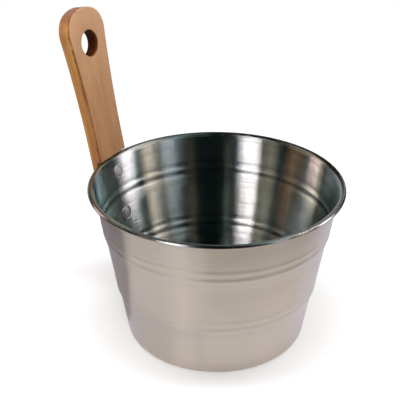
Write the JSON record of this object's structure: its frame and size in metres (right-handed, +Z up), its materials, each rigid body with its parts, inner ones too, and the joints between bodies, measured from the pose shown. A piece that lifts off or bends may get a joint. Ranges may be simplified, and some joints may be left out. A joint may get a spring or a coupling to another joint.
{
  "type": "sauna bucket",
  "caption": "Tapered steel water pail with beaded wall and rolled rim, and a flat wooden handle board with a hanging hole riveted to its side.",
  "frame": {"origin": "centre of the base's underside, on the pail's axis", "axes": "+Z up along the pail's axis; the handle stands at -X"},
  "size_m": [0.273, 0.24, 0.3023],
  "materials": {
    "steel": "brushed stainless steel",
    "rivet_steel": "plain bright steel",
    "wood": "smooth oiled hardwood"
  },
  "bodies": {
    "root": {"pail": "steel", "handle": "wood", "rivet_upper": "rivet_steel", "rivet_lower": "rivet_steel", "washer_upper": "rivet_steel", "washer_lower": "rivet_steel"}
  },
  "joints": []
}
